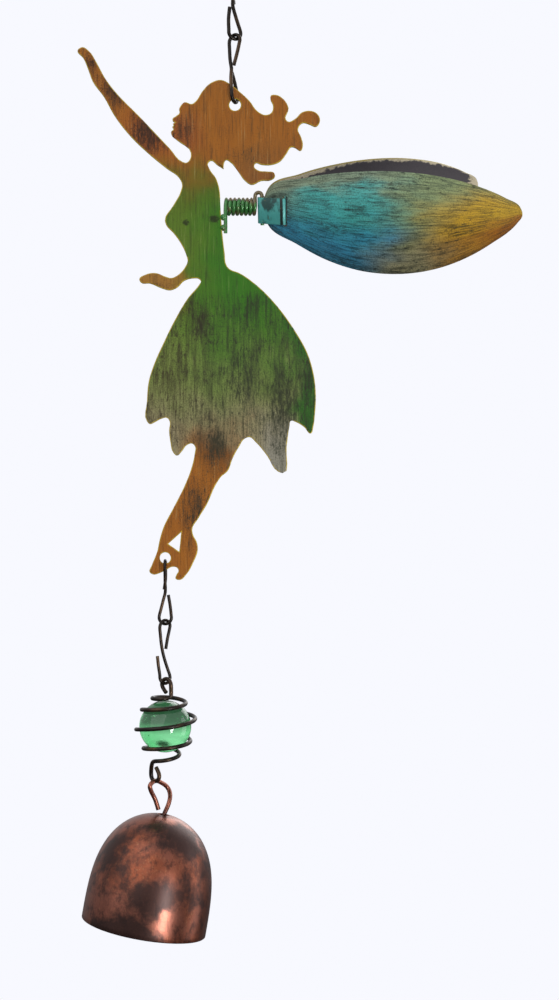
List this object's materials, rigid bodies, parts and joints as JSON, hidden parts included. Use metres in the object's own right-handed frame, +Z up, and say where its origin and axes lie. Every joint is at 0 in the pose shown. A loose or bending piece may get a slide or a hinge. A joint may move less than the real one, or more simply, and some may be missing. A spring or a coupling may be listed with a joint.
{
  "type": "hanging garden ornament",
  "caption": "Hanging flat metal fairy with sprung wings on a wire chain, with a caged glass marble and a bell below.",
  "frame": {"origin": "the point inside the top hook's bend where the ornament hangs", "axes": "+Z up, +X from the figure towards her wings, +Y from the viewed face to the back"},
  "size_m": [0.1328, 0.0807, 0.3191],
  "materials": {
    "dark_wire": "dark brown-black waxed steel wire, satin",
    "figure_paint": "brushed orange-brown to green to grey paint on sheet steel, dark dry-brush streaks, satin",
    "spring_paint": "green paint over steel wire, browner on top, gloss",
    "wing_paint": "brushed teal to blue to gold paint on sheet steel, dark lengthwise streaks, satin",
    "marble_glass": "clear green glass, polished",
    "aged_copper": "antique copper with black blotches, worn satin",
    "clapper_steel": "dark oiled steel, satin"
  },
  "bodies": {
    "hook": {"hanging_hook": "dark_wire"},
    "link_1": {"chain_link_1": "dark_wire"},
    "link_2": {"chain_link_2": "dark_wire"},
    "figure": {"fairy_plate": "figure_paint", "spring_welds": "spring_paint", "wing_spring": "spring_paint"},
    "wings": {"wing_clip": "wing_paint"},
    "wing_front": {"wing_front": "wing_paint"},
    "wing_rear": {"wing_rear": "wing_paint"},
    "link_3": {"chain_link_3": "dark_wire"},
    "link_4": {"chain_link_4": "dark_wire"},
    "cage": {"marble_cage": "dark_wire"},
    "marble": {"glass_marble": "marble_glass"},
    "hanger": {"bell_hanger": "aged_copper"},
    "bell": {"bell_shell": "aged_copper"},
    "clapper": {"clapper_wire": "dark_wire", "clapper_ball": "clapper_steel"}
  },
  "joints": [
    {"name": "link_1_swing", "type": "hinge", "parent": "hook", "child": "link_1", "pos_m": [0, 0, -0.0215], "axis": [1, 0, 0], "range_deg": [-25, 25]},
    {"name": "link_2_swing", "type": "hinge", "parent": "link_1", "child": "link_2", "pos_m": [0, 0, -0.03938], "axis": [0.8192, -0.5736, 0], "range_deg": [-20, 20]},
    {"name": "figure_swing", "type": "hinge", "parent": "link_2", "child": "figure", "pos_m": [0, 0, -0.06017], "axis": [0, 1, 0], "range_deg": [-15, 6]},
    {"name": "wings_bob", "type": "hinge", "parent": "figure", "child": "wings", "pos_m": [0.00165, 0, -0.09202], "axis": [0, 1, 0], "range_deg": [-3, 20], "stiffness_Nm_per_rad": 0.12, "springref_deg": -5.16, "deforming": ["wing_spring"]},
    {"name": "wing_front_flap", "type": "hinge", "parent": "wings", "child": "wing_front", "pos_m": [0.01469, -0.00431, -0.09297], "axis": [-0.0201, -0.2602, 0.9653], "range_deg": [-6, 0]},
    {"name": "wing_rear_flap", "type": "hinge", "parent": "wings", "child": "wing_rear", "pos_m": [0.01415, 0.00435, -0.09065], "axis": [-0.0201, -0.2602, 0.9653], "range_deg": [0, 6]},
    {"name": "link_3_swing", "type": "hinge", "parent": "figure", "child": "link_3", "pos_m": [-0.0215, 0, -0.20137], "axis": [0, 1, 0], "range_deg": [-25, 25]},
    {"name": "link_4_swing", "type": "hinge", "parent": "link_3", "child": "link_4", "pos_m": [-0.0215, 0, -0.22087], "axis": [0.9659, -0.2588, 0], "range_deg": [-25, 25]},
    {"name": "cage_swing", "type": "hinge", "parent": "link_4", "child": "cage", "pos_m": [-0.02115, 0, -0.23783], "axis": [0.766, -0.6428, 0], "range_deg": [-20, 20]},
    {"name": "marble_spin", "type": "hinge", "parent": "cage", "child": "marble", "pos_m": [-0.0215, 0, -0.25243], "axis": [0, 0, 1], "continuous": true},
    {"name": "hanger_swing", "type": "hinge", "parent": "cage", "child": "hanger", "pos_m": [-0.0246, 0, -0.26932], "axis": [0.7071, -0.7071, 0], "range_deg": [-20, 20]},
    {"name": "bell_spin", "type": "hinge", "parent": "hanger", "child": "bell", "pos_m": [-0.0221, 0, -0.27953], "axis": [0.1736, 0, 0.9848], "continuous": true},
    {"name": "clapper_swing", "type": "hinge", "parent": "hanger", "child": "clapper", "pos_m": [-0.0232, 0, -0.28387], "axis": [0, 1, 0], "range_deg": [-25, 25]}
  ]
}
